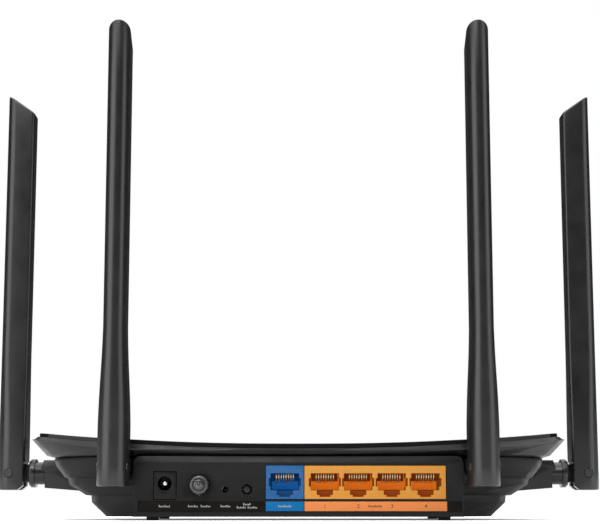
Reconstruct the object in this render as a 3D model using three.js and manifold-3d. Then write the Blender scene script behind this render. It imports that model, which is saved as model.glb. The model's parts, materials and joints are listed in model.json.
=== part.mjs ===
// Wireless router with four folding antennas, in millimetres, +Z up.
// The sockets face -Y and the object stands on z = 0, centred on the origin.
import * as THREE from "three";
import { mergeVertices } from "three/addons/utils/BufferGeometryUtils.js";
import Module from "manifold-3d";

const wasm = await Module();
wasm.setup();

// ---------- driving dimensions ----------
const GAP = 0.3; // between pieces that meet
const HALF_WIDTH = 116.3; // wing tip to centre
const PORT_Y = -64.8; // outer face of the socket wall
const FRONT_Y = 79.2; // front edge of the cover
const CASE_BOTTOM = 1.5; // underside, which the feet hold off the table
const FLOOR_TOP = 3.6;
const SEAM_Z = 27; // between the lower and the upper case
const COVER_Z = 32.2; // top of the cover at its centre line
const COVER_RISE = 5.4; // how far the cover's edge stands above its centre
const RISE_WIDTH = 111;
const RISE_POWER = 2.4;
const COVER_RIM = 1.9; // height of the cover's edge at its centre, which thins towards the wings
const COVER_RIM_THINS = 0.4;
const CREASE_DROP = 4.5; // from the cover's top down to the widest line of the upper case
const CREASE_LIFT = 1.15; // how much less that is at the wing tips
const CREASE_POWER = 8;
const FACET_LOW = 0.3; // the upright facet above the crease, least at the wings
const FACET_RISE = 1.75; // and how much taller it is at the centre line
const LIP_RISE = 0.6; // how far the lower edge of the upper case climbs towards the wings
const DECK_THICK = 1.8;
const WALL = 2.2;

const BULGE_HALF = 68.9; // the socket wall stands proud between the rear antennas
const BULGE_FRONT_Y = -44;
const BULGE_TOP = SEAM_Z - 0.2;
const BULGE_CORNER = 3;
const BEVEL_LOW = 24.1; // the bulge's upper edge leans back from here
const BEVEL_DEPTH = 1;

const HINGE_Z = 22; // height of every antenna's swivel axis and hinge pin
const REAR_ANTENNA_X = 76.5;
const REAR_HINGE_Y = -73.2;
const SIDE_HINGE_X = 140.2;
const SIDE_ANTENNA_Y = 26;

const BOARD_TOP = 8.5;
const BOARD_THICK = 1.6;
const BOARD_HALF = 66;
const BOARD_REAR = -62;
const BOARD_FRONT = 40;

// ---------- solids ----------
const X_AXIS = new THREE.Vector3(1, 0, 0);
const Y_AXIS = new THREE.Vector3(0, 1, 0);
const Z_AXIS = new THREE.Vector3(0, 0, 1);

function solid(geometry) {
  const bare = new THREE.BufferGeometry();
  bare.setAttribute("position", geometry.getAttribute("position"));
  bare.setIndex(geometry.index);
  const merged = mergeVertices(bare, 1e-4);
  return new wasm.Manifold(
    new wasm.Mesh({
      numProp: 3,
      vertProperties: new Float32Array(merged.getAttribute("position").array),
      triVerts: new Uint32Array(merged.index.array),
    }),
  );
}

function join(...solids) {
  return solids.flat().reduce((whole, piece) => whole.add(piece));
}

function cut(whole, ...tools) {
  return tools.flat().reduce((left, tool) => left.subtract(tool), whole);
}

function geometryOf(made) {
  const mesh = made.getMesh();
  const geometry = new THREE.BufferGeometry();
  geometry.setAttribute("position", new THREE.BufferAttribute(mesh.vertProperties, 3));
  geometry.setIndex(new THREE.BufferAttribute(mesh.triVerts, 1));
  geometry.computeVertexNormals();
  return geometry;
}

// A block between two corners.
function block(x0, x1, y0, y1, z0, z1) {
  const geometry = new THREE.BoxGeometry(x1 - x0, y1 - y0, z1 - z0);
  return solid(geometry.translate((x0 + x1) / 2, (y0 + y1) / 2, (z0 + z1) / 2));
}

// A round bar along an axis, from one end to the other, centred on a point of the other two axes.
function bar(axis, radius, from, to, a = 0, b = 0, sides = 20, endRadius = radius) {
  const geometry = new THREE.CylinderGeometry(endRadius, radius, to - from, sides);
  const middle = (from + to) / 2;
  if (axis === X_AXIS) return solid(geometry.rotateZ(-Math.PI / 2).translate(middle, a, b));
  if (axis === Y_AXIS) return solid(geometry.translate(a, middle, b));
  return solid(geometry.rotateX(Math.PI / 2).translate(a, b, middle));
}

// An outline of [x, z] points, pushed along Y.
function plate(points, y0, y1) {
  const shape = new THREE.Shape(points.map(([x, z]) => new THREE.Vector2(x, z)));
  const geometry = new THREE.ExtrudeGeometry(shape, { depth: y1 - y0, bevelEnabled: false });
  return solid(geometry.rotateX(Math.PI / 2).translate(0, y1, 0));
}

// An outline of [y, z] points, pushed along X.
function slab(points, x0, x1) {
  return plate(points, -x1, -x0).rotate([0, 0, 90]);
}

// A closed skin through rings of equally many points; the rings go up and run anticlockwise.
// lid lists the triangles that close both ends, where they aren't flat.
function loft(rings, lid) {
  const count = rings[0].length;
  const index = [];
  rings.slice(1).forEach((ring, level) => {
    for (let i = 0; i < count; i++) {
      const next = (i + 1) % count;
      const low = level * count;
      const high = low + count;
      index.push(low + i, low + next, high + next, low + i, high + next, high + i);
    }
  });
  const flat = (ring) => ring.map((point) => new THREE.Vector2(point.x, point.y));
  const top = (rings.length - 1) * count;
  const base = lid ?? THREE.ShapeUtils.triangulateShape(flat(rings[0]), []);
  const cap = lid ?? THREE.ShapeUtils.triangulateShape(flat(rings.at(-1)), []);
  base.forEach(([a, b, c]) => index.push(a, c, b));
  cap.forEach(([a, b, c]) => index.push(top + a, top + b, top + c));
  const geometry = new THREE.BufferGeometry().setFromPoints(rings.flat());
  return solid(geometry.setIndex(index));
}

// ---------- scene graph ----------
function finish(color, roughness, metalness = 0) {
  return { color, roughness, metalness };
}
const MATTE = finish(0x1d1d1f, 0.55);
const GLOSS = finish(0x08080a, 0.12);
const BLUE = finish(0x2b74b8, 0.45);
const YELLOW = finish(0xe49935, 0.45);
const ORANGE = finish(0xf09150, 0.6);
const GOLD = finish(0xd8a84a, 0.3, 1);
const STEEL = finish(0xb9bcc0, 0.3, 1);
const BOARD_GREEN = finish(0x1f5a34, 0.5);
const RUBBER = finish(0x121212, 0.9);
const CLEAR = finish(0xe8eef2, 0.2);

const router = new THREE.Group();

function addNode(name, made, look, parent = router) {
  const mesh = new THREE.Mesh(geometryOf(made), new THREE.MeshStandardMaterial(look));
  mesh.name = name;
  parent.add(mesh);
  return mesh;
}

// ---------- the case's outline ----------
// How far the cover's surface rises towards the wings.
function rise(x) {
  return COVER_RISE * (Math.abs(x) / RISE_WIDTH) ** RISE_POWER;
}

// What part of a side's inset the rear, the front and the bends of the rear wall take.
const REAR_SHARE = 0.4;
const FRONT_SHARE = 0.5;
const KNEE_SHARE = 0.3;

// The corners of the plan, as distances in from the side and along from the rear and the front.
const CORNER_IN = 20;
const CORNER_CUT = 4;
const REAR_SWEEP = 17;
const REAR_CORNER = 23;
const FRONT_CUT = 12;
const FRONT_CORNER = 20;

// The plan outline, drawn in by inset at the sides and by less at the rear and the front.
// height(x) gives each point's z, and wall thickens the rear and front walls alone.
function caseRing(inset, height, wall = 0) {
  const side = HALF_WIDTH - inset;
  const rear = PORT_Y + REAR_SHARE * inset + wall;
  const front = FRONT_Y - FRONT_SHARE * inset - wall;
  const knee = BULGE_HALF - KNEE_SHARE * inset;
  const corner = side - CORNER_IN;
  const cutSide = side - CORNER_CUT;
  const sweep = (REAR_SWEEP * (corner - knee)) / (cutSide - knee);
  const right = [
    [knee / 3, rear],
    [(2 * knee) / 3, rear],
    [knee, rear],
    [corner, rear + sweep],
    [cutSide, rear + REAR_SWEEP],
    [side, rear + REAR_CORNER],
    [side, front - FRONT_CORNER],
    [cutSide, front - FRONT_CUT],
    [corner, front],
    [knee, front],
    [(2 * knee) / 3, front],
    [knee / 3, front],
  ];
  const left = right.map(([x, y]) => [-x, y]).reverse();
  const ring = [[0, rear], ...right, [0, front], ...left];
  return ring.map(([x, y]) => new THREE.Vector3(x, y, height(x)));
}

// Strips from the rear to the front of a case ring, between points of equal x.
const CASE_POINTS = 26;
function caseLid() {
  const half = CASE_POINTS / 2;
  const mirror = (i) => (CASE_POINTS - i) % CASE_POINTS;
  const triangles = [];
  for (let i = 0; i < (half - 1) / 2; i++) {
    const strip = [i, i + 1, half - i - 1, half - i];
    const [a, b, c, d] = strip;
    const [e, f, g, h] = strip.map(mirror);
    triangles.push([a, b, c], [a, c, d], [e, g, f], [e, h, g]);
  }
  return triangles;
}

const level = (z) => () => z;
const underCover = (drop) => (x) => COVER_Z + rise(x) - drop;
const creaseLift = (x) => CREASE_LIFT * (Math.abs(x) / HALF_WIDTH) ** CREASE_POWER;
const crease = (x) => underCover(CREASE_DROP)(x) + creaseLift(x);
const facet = (x) => {
  return crease(x) + FACET_LOW + FACET_RISE * Math.max(0, 1 - (x / BULGE_HALF) ** 2);
};
const lip = (x) => SEAM_Z + GAP + (LIP_RISE * rise(x)) / COVER_RISE;
const underRim = (gap) => (x) => {
  return COVER_Z + rise(x) - COVER_RIM + (COVER_RIM_THINS * rise(x)) / COVER_RISE - gap;
};

// ---------- antennas ----------
// An antenna's own frame: origin on its hinge pin, -Y outward from the router, +Z to its tip.
const ANTENNA_OUTER = 6;
const ANTENNA_INNER = 7.8;
const ANTENNA_FOOT = 8;
const ANTENNA_TIP = 190;
const ANTENNA_CORNER = 1.6;
const TIP_SLOPE = 0.71;
const SLIM_HALF = 4.7;
const WIDE_HALF = 6.4;
const TAPER_FROM = 17;
const TAPER_TO = 58;
const FOOT_RADIUS = 9.2; // clears the flange while the antenna folds
const PIN_RADIUS = 2;
const TONGUE_RADIUS = 4.3;
const TONGUE_HALF = 2.5;
const FLANGE_Y = 9.5;
const FLANGE_RADIUS = 6.85;
const BARREL_Y = 12.5;
const BARREL_RADIUS = 5.4;
const SHAFT_Y = 17.7;
const SHAFT_RADIUS = 3;
const SHAFT_END = 30;
const LEAD_BORE = 1.3; // the antenna's lead runs through the knuckle
const HOLLOW_HALF = 3.1; // the antenna's inside
const HOLLOW_OUTER = 3.4;
const HOLLOW_INNER = 5.8;
const HOLLOW_FROM = 4;
const HOLLOW_TO = 176;
const OVERSHOOT = 1; // how far a cutting shape runs past what it cuts

// Round towards the outside, flat with small round corners towards the router.
function antennaRing(half, height) {
  const outline = [];
  const turns = 10;
  for (let i = 0; i <= turns; i++) {
    const angle = Math.PI + (Math.PI * i) / turns;
    outline.push([half * Math.cos(angle), half - ANTENNA_OUTER + half * Math.sin(angle)]);
  }
  const corner = ANTENNA_CORNER;
  for (const [side, first] of [[1, 0], [-1, 3]]) {
    for (let i = first; i <= first + 3; i++) {
      const angle = (Math.PI * i) / 6;
      outline.push([
        side * (half - corner) + corner * Math.cos(angle),
        ANTENNA_INNER - corner + corner * Math.sin(angle),
      ]);
    }
  }
  return outline.map(([x, y]) => new THREE.Vector3(x, y, height(y)));
}

function antennaSleeve() {
  const tip = (drop) => (y) => ANTENNA_TIP - drop - TIP_SLOPE * (y + ANTENNA_OUTER);
  const body = loft([
    antennaRing(WIDE_HALF - 0.8, level(-ANTENNA_FOOT)),
    antennaRing(WIDE_HALF, level(-ANTENNA_FOOT + 1)),
    antennaRing(WIDE_HALF, level(TAPER_FROM)),
    antennaRing(SLIM_HALF, level(TAPER_TO)),
    antennaRing(SLIM_HALF, tip(1.2)),
    antennaRing(SLIM_HALF - 0.9, tip(0)),
  ]);
  const slotHalf = TONGUE_HALF + GAP;
  const slotRadius = TONGUE_RADIUS + GAP;
  const side = WIDE_HALF + OVERSHOOT;
  const past = FOOT_RADIUS + OVERSHOOT;
  const low = -ANTENNA_FOOT - OVERSHOOT;
  const corner = cut(
    block(-side, side, 0, past, -past, 0),
    bar(X_AXIS, FOOT_RADIUS, -side - 1, side + 1, 0, 0, 32),
  );
  const innerStep = block(-side, side, ANTENNA_INNER - 0.8, past, low, 5.4);
  return cut(
    body,
    corner,
    innerStep,
    bar(X_AXIS, slotRadius, -slotHalf, slotHalf),
    block(-slotHalf, slotHalf, -slotRadius, past, low, 0),
    block(-slotHalf, slotHalf, 0, past, -1, slotRadius),
    block(-HOLLOW_HALF, HOLLOW_HALF, -HOLLOW_OUTER, HOLLOW_INNER, HOLLOW_FROM, HOLLOW_TO),
    bar(X_AXIS, PIN_RADIUS + GAP, -side, side, 0, 0, 16),
  );
}

function swivelKnuckle() {
  const bevel = 0.8;
  const profile = [
    [0, FLANGE_Y],
    [FLANGE_RADIUS - bevel, FLANGE_Y],
    [FLANGE_RADIUS, FLANGE_Y + bevel],
    [FLANGE_RADIUS, BARREL_Y],
    [BARREL_RADIUS, BARREL_Y],
    [BARREL_RADIUS, SHAFT_Y],
    [SHAFT_RADIUS, SHAFT_Y],
    [SHAFT_RADIUS, SHAFT_END],
    [0, SHAFT_END],
  ];
  const turned = new THREE.LatheGeometry(profile.map(([r, y]) => new THREE.Vector2(r, y)), 24);
  return cut(
    join(
      solid(turned),
      bar(X_AXIS, TONGUE_RADIUS, -TONGUE_HALF, TONGUE_HALF),
      block(-TONGUE_HALF, TONGUE_HALF, 0, FLANGE_Y + 0.5, -TONGUE_RADIUS, TONGUE_RADIUS),
    ),
    bar(X_AXIS, PIN_RADIUS + GAP, -4, 4, 0, 0, 16),
    bar(Y_AXIS, LEAD_BORE, TONGUE_RADIUS + GAP, SHAFT_END + OVERSHOOT, 0, 0, 12),
    block(-1, 1, 3.6, 6, 0, 6),
  );
}

// The room that a knuckle turns in.
function knuckleRoom() {
  return join(
    bar(Y_AXIS, FLANGE_RADIUS + 0.4, FLANGE_Y - 0.4, BARREL_Y + 0.4, 0, 0, 24),
    bar(Y_AXIS, BARREL_RADIUS + 0.4, BARREL_Y, SHAFT_Y + GAP, 0, 0, 24),
  );
}

function radiator() {
  return join(
    block(-0.4, 0.4, -2.3, 4.7, 44, 168),
    block(-1.1, 1.1, 0, 2.4, 40, 66),
    block(-1.1, 1.1, -1.6, 4, 92, 118),
  );
}

// Where each antenna stands, and how its frame is turned about Z.
const ANTENNAS = {
  rear_left: { x: -REAR_ANTENNA_X, y: REAR_HINGE_Y, turn: 0 },
  rear_right: { x: REAR_ANTENNA_X, y: REAR_HINGE_Y, turn: 0 },
  side_left: { x: -SIDE_HINGE_X, y: SIDE_ANTENNA_Y, turn: -Math.PI / 2 },
  side_right: { x: SIDE_HINGE_X, y: SIDE_ANTENNA_Y, turn: Math.PI / 2 },
};

// Brings a solid from an antenna's frame into the router's.
function atAntenna(made, { x, y, turn }) {
  return made.rotate([0, 0, (turn * 180) / Math.PI]).translate([x, y, HINGE_Z]);
}

for (const [place, spot] of Object.entries(ANTENNAS)) {
  const group = new THREE.Group();
  group.position.set(spot.x, spot.y, HINGE_Z);
  group.rotation.z = spot.turn;
  router.add(group);
  addNode(`antenna_sleeve_${place}`, antennaSleeve(), MATTE, group);
  addNode(`antenna_radiator_${place}`, radiator(), GOLD, group);
  addNode(`swivel_knuckle_${place}`, swivelKnuckle(), MATTE, group);
  const pinHalf = WIDE_HALF - 0.1;
  const pin = bar(X_AXIS, PIN_RADIUS, -pinHalf, pinHalf, 0, 0, 16);
  addNode(`hinge_pin_${place}`, pin, STEEL, group);
}

// ---------- sockets and switches in the rear wall ----------
const WAN = { x0: -13.6, x1: 2.2, z0: 8.9, z1: 22.8, mouths: [-5.7] };
const LAN = { x0: 2.5, x1: 61.4, z0: 8.9, z1: 22.7, mouths: [11, 24.9, 38.9, 53] };
const JACK_DEPTH = 15;
const DC = { x: -55.8, z: 15.3, x0: -60.3, x1: -51.1, z0: 8.8, z1: 20.1, radius: 3, pin: 1 };
const DC_DEPTH = 14;
const DC_BORE = 10;
const POWER = { x: -41.3, z: 14.7, radius: 4, proud: 4.5 };
const RESET = { x: -30.6, z: 12.8, radius: 1 };
const PAIR = { x: -21.5, z: 12.8, radius: 1.9, proud: 0.3 };

// The mouth of one network socket: plug opening, side steps and two latch steps.
function socketMouth(x) {
  const right = [
    [2.3, 9.8],
    [2.3, 10.6],
    [3.4, 10.6],
    [3.4, 12.5],
    [5.95, 12.5],
    [5.95, 14.1],
    [6.7, 14.1],
    [6.7, 17.6],
    [5.95, 17.6],
    [5.95, 19.6],
  ];
  const left = right.map(([dx, z]) => [-dx, z]).reverse();
  return [...right, ...left].map(([dx, z]) => [x + dx, z]);
}

const CONTACT_COUNT = 8;
const CONTACT_PITCH = 1.02;
const CONTACT_HALF = 0.2;
const CARRIER_Y = PORT_Y + 11.5;
const CARRIER_THICK = 2;
const CARRIER_HALF = 5.7; // how far the carrier runs past the outer mouths' middles
const CARRIER_LOW = 12.9;
const CARRIER_HIGH = 19.7;

function jackHousing({ x0, x1, z0, z1, mouths }) {
  const mouthCuts = mouths.map((x) => plate(socketMouth(x), PORT_Y - 1, CARRIER_Y));
  const carrierSlot = block(
    mouths[0] - CARRIER_HALF - GAP, mouths.at(-1) + CARRIER_HALF + GAP,
    CARRIER_Y - GAP, CARRIER_Y + CARRIER_THICK + GAP,
    CARRIER_LOW - GAP, CARRIER_HIGH + GAP,
  );
  const housing = block(x0, x1, PORT_Y, PORT_Y + JACK_DEPTH, z0, z1);
  return cut(housing, mouthCuts, carrierSlot);
}

// Eight spring contacts in each mouth, held by one carrier that runs behind them all.
function jackContacts({ mouths }) {
  const carrier = block(
    mouths[0] - CARRIER_HALF, mouths.at(-1) + CARRIER_HALF,
    CARRIER_Y, CARRIER_Y + CARRIER_THICK,
    CARRIER_LOW, CARRIER_HIGH,
  );
  const side = [
    [PORT_Y + 2.2, 18.8],
    [CARRIER_Y + 0.5, 15.6],
    [CARRIER_Y + 0.5, 16.1],
    [PORT_Y + 2.2, 19.3],
  ];
  const fingers = mouths.flatMap((x) =>
    Array.from({ length: CONTACT_COUNT }, (_, i) => {
      const at = x + (i - (CONTACT_COUNT - 1) / 2) * CONTACT_PITCH;
      return slab(side, at - CONTACT_HALF, at + CONTACT_HALF);
    }),
  );
  return join(carrier, fingers);
}

addNode("internet_jack", jackHousing(WAN), BLUE);
addNode("internet_jack_contacts", jackContacts(WAN), GOLD);
addNode("lan_jack_block", jackHousing(LAN), YELLOW);
addNode("lan_jack_contacts", jackContacts(LAN), GOLD);

function dcJack() {
  const housing = block(DC.x0, DC.x1, PORT_Y + 0.2, PORT_Y + DC_DEPTH, DC.z0, DC.z1);
  const bore = PORT_Y + DC_BORE;
  const latch = block(DC.x - 0.9, DC.x + 0.9, PORT_Y - 1, PORT_Y + 2, DC.z - 4, DC.z);
  return cut(
    housing,
    bar(Y_AXIS, DC.radius, PORT_Y - OVERSHOOT, bore, DC.x, DC.z, 24),
    bar(Y_AXIS, DC.pin + GAP, bore - 1, PORT_Y + DC_DEPTH + OVERSHOOT, DC.x, DC.z, 12),
    latch,
  );
}
addNode("dc_jack", dcJack(), MATTE);
const inletPin = bar(Y_AXIS, DC.pin, PORT_Y + 1, PORT_Y + DC_DEPTH + 0.5, DC.x, DC.z, 16);
addNode("dc_jack_pin", inletPin, STEEL);

// A push button: a round cap in the wall with a slimmer stem towards its switch.
function pushButton({ x, z, radius, proud }, stem, end) {
  const y0 = PORT_Y - proud;
  const edge = Math.min(0.6, radius / 4);
  return join(
    bar(Y_AXIS, radius - edge, y0, y0 + edge, x, z, 24, radius),
    bar(Y_AXIS, radius, y0 + edge, PORT_Y + 3.5, x, z, 24),
    bar(Y_AXIS, stem, PORT_Y + 3, end, x, z, 16),
  );
}
const SWITCH_Z = BOARD_TOP + GAP;
addNode("power_button", pushButton(POWER, 1.6, PORT_Y + 9), MATTE);
addNode(
  "power_switch",
  cut(
    block(POWER.x - 4.2, POWER.x + 4.2, PORT_Y + 6, PORT_Y + 19, SWITCH_Z, POWER.z + 3.4),
    bar(Y_AXIS, 1.6 + GAP, PORT_Y + 5, PORT_Y + 12.2, POWER.x, POWER.z, 16),
  ),
  STEEL,
);
addNode("pairing_button", pushButton(PAIR, 1, PORT_Y + 6), MATTE);
addNode(
  "pairing_switch",
  block(PAIR.x - 3, PAIR.x + 3, PORT_Y + 7, PORT_Y + 11, SWITCH_Z, PAIR.z + 3),
  STEEL,
);
addNode(
  "reset_plunger",
  bar(Y_AXIS, RESET.radius, PORT_Y + 3.4, PORT_Y + 6.3, RESET.x, RESET.z, 16),
  RUBBER,
);
addNode(
  "reset_switch",
  cut(
    block(RESET.x - 3, RESET.x + 3, PORT_Y + 5, PORT_Y + 9, SWITCH_Z, RESET.z + 3),
    bar(Y_AXIS, RESET.radius + GAP, PORT_Y + 4, PORT_Y + 7.2, RESET.x, RESET.z, 16),
  ),
  STEEL,
);

// ---------- labels under the sockets ----------
const LABEL_Z0 = 3.9;
const LABEL_Z1 = 7.85;
const LABELS = [
  ["label_controls", -66.5, -13.9, MATTE],
  ["label_internet", -13.6, 2.2, BLUE],
  ["label_lan", 2.5, 61.8, ORANGE],
  ["label_end", 62.1, 67.8, MATTE],
];
for (const [name, x0, x1, look] of LABELS) {
  addNode(name, block(x0, x1, PORT_Y - 0.05, PORT_Y + GAP, LABEL_Z0, LABEL_Z1), look);
}

// ---------- antenna sockets ----------
const SOCKET_Y = SHAFT_Y + GAP;

// The rear sockets are let into the shoulders beside the socket wall.
const REAR_SOCKET = { half: 7.2, depth: 10, low: -6.8, high: 4.2 };
function rearSocket() {
  const { half, depth, low, high } = REAR_SOCKET;
  return cut(
    block(-half, half, SOCKET_Y, SOCKET_Y + depth, low, high),
    bar(Y_AXIS, SHAFT_RADIUS + GAP, SOCKET_Y - 1, SOCKET_Y + depth + OVERSHOOT, 0, 0, 20),
  );
}
function rearSocketRoom() {
  const half = REAR_SOCKET.half + GAP;
  const end = SOCKET_Y + REAR_SOCKET.depth + GAP;
  return block(-half, half, SOCKET_Y - 6, end, REAR_SOCKET.low - GAP, 6);
}

// The side sockets stand out from the wall, with a hood over the barrel and a shank through the wall.
const SIDE_SOCKET_HALF = 7.5;
const SIDE_SOCKET_TOP = 6.2;
const SIDE_SOCKET_END = 45; // where the block is well inside the case
const HOOD_REACH = 1.8;
const SHANK = { half: 5.2, end: 50, low: -5.6, high: 3.9 };
function sideSocketBlock() {
  const side = [
    [SOCKET_Y, -7.1],
    [SIDE_SOCKET_END, -9.3],
    [SIDE_SOCKET_END, SIDE_SOCKET_TOP],
    [SOCKET_Y - 0.6, SIDE_SOCKET_TOP],
    [SOCKET_Y - HOOD_REACH, 3],
    [SOCKET_Y - HOOD_REACH, 0.8],
    [SOCKET_Y, 0.8],
  ];
  return slab(side, -SIDE_SOCKET_HALF, SIDE_SOCKET_HALF);
}
function sideShank(gap) {
  const half = SHANK.half + gap;
  return block(-half, half, SOCKET_Y + 4, SHANK.end, SHANK.low - gap, SHANK.high + gap);
}

// ---------- lower case ----------
const LIP_INSET = 6.3;
// Each step of the side is a narrow upright band over a slope that runs in underneath it.
const LOWER_PROFILE = [
  [31.2, CASE_BOTTOM],
  [25.1, 7.8],
  [24.8, 10.7],
  [22.6, 10.9],
  [15.8, 15.4],
  [15, 18.2],
  [13.8, 18.5],
  [10.2, 23.3],
  [9.4, 25.6],
  [9.4, SEAM_Z - 0.2],
];
const LOWER_HOLLOW = [
  [34.6, FLOOR_TOP],
  [28.7, 8.8],
  [28.8, 12.6],
  [18.8, 18.4],
  [12.4, SEAM_Z + 1],
];
const CASE_SCREWS = {
  rear_left: [-74, -28],
  rear_right: [74, -28],
  front_left: [-58, 50],
  front_right: [58, 50],
};
const BOARD_SCREWS = {
  left: [-60, 34],
  right: [60, 34],
};
const FEET = {
  rear_left: [-62, -52],
  rear_right: [62, -52],
  front_left: [-67, 44],
  front_right: [67, 44],
};
const SCREW_RADIUS = 1.2;
const HEAD_RADIUS = 2.4;
const HEAD_TOP = 3;
const BOSS_RADIUS = 3.6;
const STUD_RADIUS = 3;
const BOSS_TOP = 8.6;
const STUD_TOP = BOARD_TOP - BOARD_THICK - GAP;
const FOOT_SIZE = 2.85;
const FOOT_TOP = 2.2;

function caseBody(profile, wall = 0, grow = 0) {
  return loft(profile.map(([inset, z]) => caseRing(inset - grow, level(z), wall)), caseLid());
}

// The socket wall's bulge, with rounded upper corners and a bevelled upper edge.
function bulge(half, top, y0) {
  const arc = Array.from({ length: 5 }, (_, i) => {
    const angle = (Math.PI / 8) * i;
    return [
      half - BULGE_CORNER * (1 - Math.cos(angle)),
      top - BULGE_CORNER * (1 - Math.sin(angle)),
    ];
  });
  const right = [[half, CASE_BOTTOM], ...arc];
  const left = right.map(([x, z]) => [-x, z]).reverse();
  const lean = (BULGE_TOP - BEVEL_LOW) / BEVEL_DEPTH;
  const bevel = [
    [y0 - 1, BEVEL_LOW - lean],
    [y0 + BEVEL_DEPTH + 1, BULGE_TOP + lean],
    [y0 - 1, BULGE_TOP + lean],
  ];
  return cut(plate([...right, ...left], y0, BULGE_FRONT_Y), slab(bevel, -half - 1, half + 1));
}

const VENT_ROWS = [-18, 16];
const VENT_COUNT = 9;
const VENT_PITCH = 8;
const VENT_HALF_WIDTH = 1.2;
const VENT_HALF_LENGTH = 12;
function ventSlots() {
  return VENT_ROWS.flatMap((y) =>
    Array.from({ length: VENT_COUNT }, (_, i) => {
      const x = (i - (VENT_COUNT - 1) / 2) * VENT_PITCH;
      return block(
        x - VENT_HALF_WIDTH, x + VENT_HALF_WIDTH,
        y - VENT_HALF_LENGTH, y + VENT_HALF_LENGTH,
        0, FLOOR_TOP + OVERSHOOT,
      );
    }),
  );
}

// A hole for a screw head on a wall, with a slot for its neck.
const KEYHOLE = { x: 48, y: 4, radius: 3.6, neck: 1.9, length: 10 };
function keyhole(x) {
  const { y, radius, neck, length } = KEYHOLE;
  return [
    bar(Z_AXIS, radius, 0, FLOOR_TOP + OVERSHOOT, x, y, 20),
    block(x - neck, x + neck, y, y + length, 0, FLOOR_TOP + OVERSHOOT),
  ];
}

function wallOpenings() {
  const hole = (radius, { x, z }) => bar(Y_AXIS, radius, PORT_Y - 2, PORT_Y + 4, x, z, 24);
  return [
    block(WAN.x0 - GAP, LAN.x1 + GAP, PORT_Y - 2, PORT_Y + 4, WAN.z0 - GAP, WAN.z1 + GAP),
    block(DC.x0 - GAP, DC.x1 + GAP, PORT_Y - 2, PORT_Y + 4, DC.z0 - GAP, DC.z1 + GAP),
    hole(POWER.radius + GAP, POWER),
    hole(PAIR.radius + GAP, PAIR),
    hole(RESET.radius + GAP, RESET),
    block(-66.8, 68.1, PORT_Y - 1, PORT_Y + 0.6, LABEL_Z0 - 0.15, LABEL_Z1 + 0.15),
  ];
}

function bottomCase() {
  const shell = cut(
    join(caseBody(LOWER_PROFILE), bulge(BULGE_HALF, BULGE_TOP, PORT_Y)),
    caseBody(LOWER_HOLLOW, WALL),
    block(-BULGE_HALF + WALL, BULGE_HALF - WALL, PORT_Y + WALL, -30, FLOOR_TOP, 24.2),
  );
  const bosses = Object.values(CASE_SCREWS).map(([x, y]) => {
    return bar(Z_AXIS, BOSS_RADIUS, FLOOR_TOP - 1, BOSS_TOP, x, y);
  });
  const studs = Object.values(BOARD_SCREWS).map(([x, y]) => {
    return bar(Z_AXIS, STUD_RADIUS, FLOOR_TOP - 1, STUD_TOP, x, y);
  });
  const screwHoles = Object.values(CASE_SCREWS).flatMap(([x, y]) => [
    bar(Z_AXIS, HEAD_RADIUS + GAP, 0, HEAD_TOP + GAP, x, y),
    bar(Z_AXIS, SCREW_RADIUS + GAP, 0, BOSS_TOP + OVERSHOOT, x, y, 12),
  ]);
  const studHoles = Object.values(BOARD_SCREWS).map(([x, y]) => {
    return bar(Z_AXIS, SCREW_RADIUS + GAP, FLOOR_TOP - 0.6, STUD_TOP + OVERSHOOT, x, y, 12);
  });
  const footSeats = Object.values(FEET).map(([x, y]) => {
    return bar(Z_AXIS, FOOT_SIZE + GAP, 0, FOOT_TOP + GAP, x, y);
  });
  const rooms = [ANTENNAS.rear_left, ANTENNAS.rear_right].flatMap((spot) => [
    atAntenna(knuckleRoom(), spot),
    atAntenna(rearSocketRoom(), spot),
  ]);
  const sideRooms = [ANTENNAS.side_left, ANTENNAS.side_right].map((spot) => {
    return atAntenna(sideShank(GAP), spot);
  });
  return cut(
    join(shell, bosses, studs),
    wallOpenings(), screwHoles, studHoles, footSeats, rooms, sideRooms,
    ventSlots(), keyhole(-KEYHOLE.x), keyhole(KEYHOLE.x),
  );
}
addNode("bottom_case", bottomCase(), MATTE);

for (const place of ["rear_left", "rear_right"]) {
  addNode(`swivel_socket_${place}`, atAntenna(rearSocket(), ANTENNAS[place]), MATTE);
}
for (const place of ["side_left", "side_right"]) {
  const outside = cut(
    atAntenna(sideSocketBlock(), ANTENNAS[place]),
    caseBody(LOWER_PROFILE, 0, 0.5),
    caseBody([[9, SEAM_Z - 0.6], [LIP_INSET, SEAM_Z + 0.6], [0, 34.6]], 0, 0.5),
  );
  const tools = join(
    bar(Y_AXIS, SHAFT_RADIUS + GAP, BARREL_Y, SHANK.end + OVERSHOOT, 0, 0, 20),
    bar(Y_AXIS, BARREL_RADIUS + GAP, BARREL_Y, SHAFT_Y + GAP, 0, 0, 24),
  );
  const shank = atAntenna(sideShank(0), ANTENNAS[place]);
  const whole = cut(join(outside, shank), atAntenna(tools, ANTENNAS[place]));
  addNode(`swivel_socket_${place}`, whole, MATTE);
}

for (const [place, [x, y]] of Object.entries(FEET)) {
  addNode(`foot_${place}`, bar(Z_AXIS, FOOT_SIZE - 0.3, 0, FOOT_TOP, x, y, 20, FOOT_SIZE), RUBBER);
}

// ---------- upper case and cover ----------
const COVER_INSET = 2.4;
const COVER_CHAMFER = 1.4;
const POST_END = BOSS_TOP + GAP;
const POST_RADIUS = 3;
const LIGHT_COUNT = 6;
const LIGHT_PITCH = 9;
const LIGHT_Y = 66;
const LIGHT_RADIUS = 1.1;
const RAIL_HALF = 26;
const RAIL_HALF_DEPTH = 1.8;
const RAIL_LOW = 26;
const RAIL_HIGH = 28.2;

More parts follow.
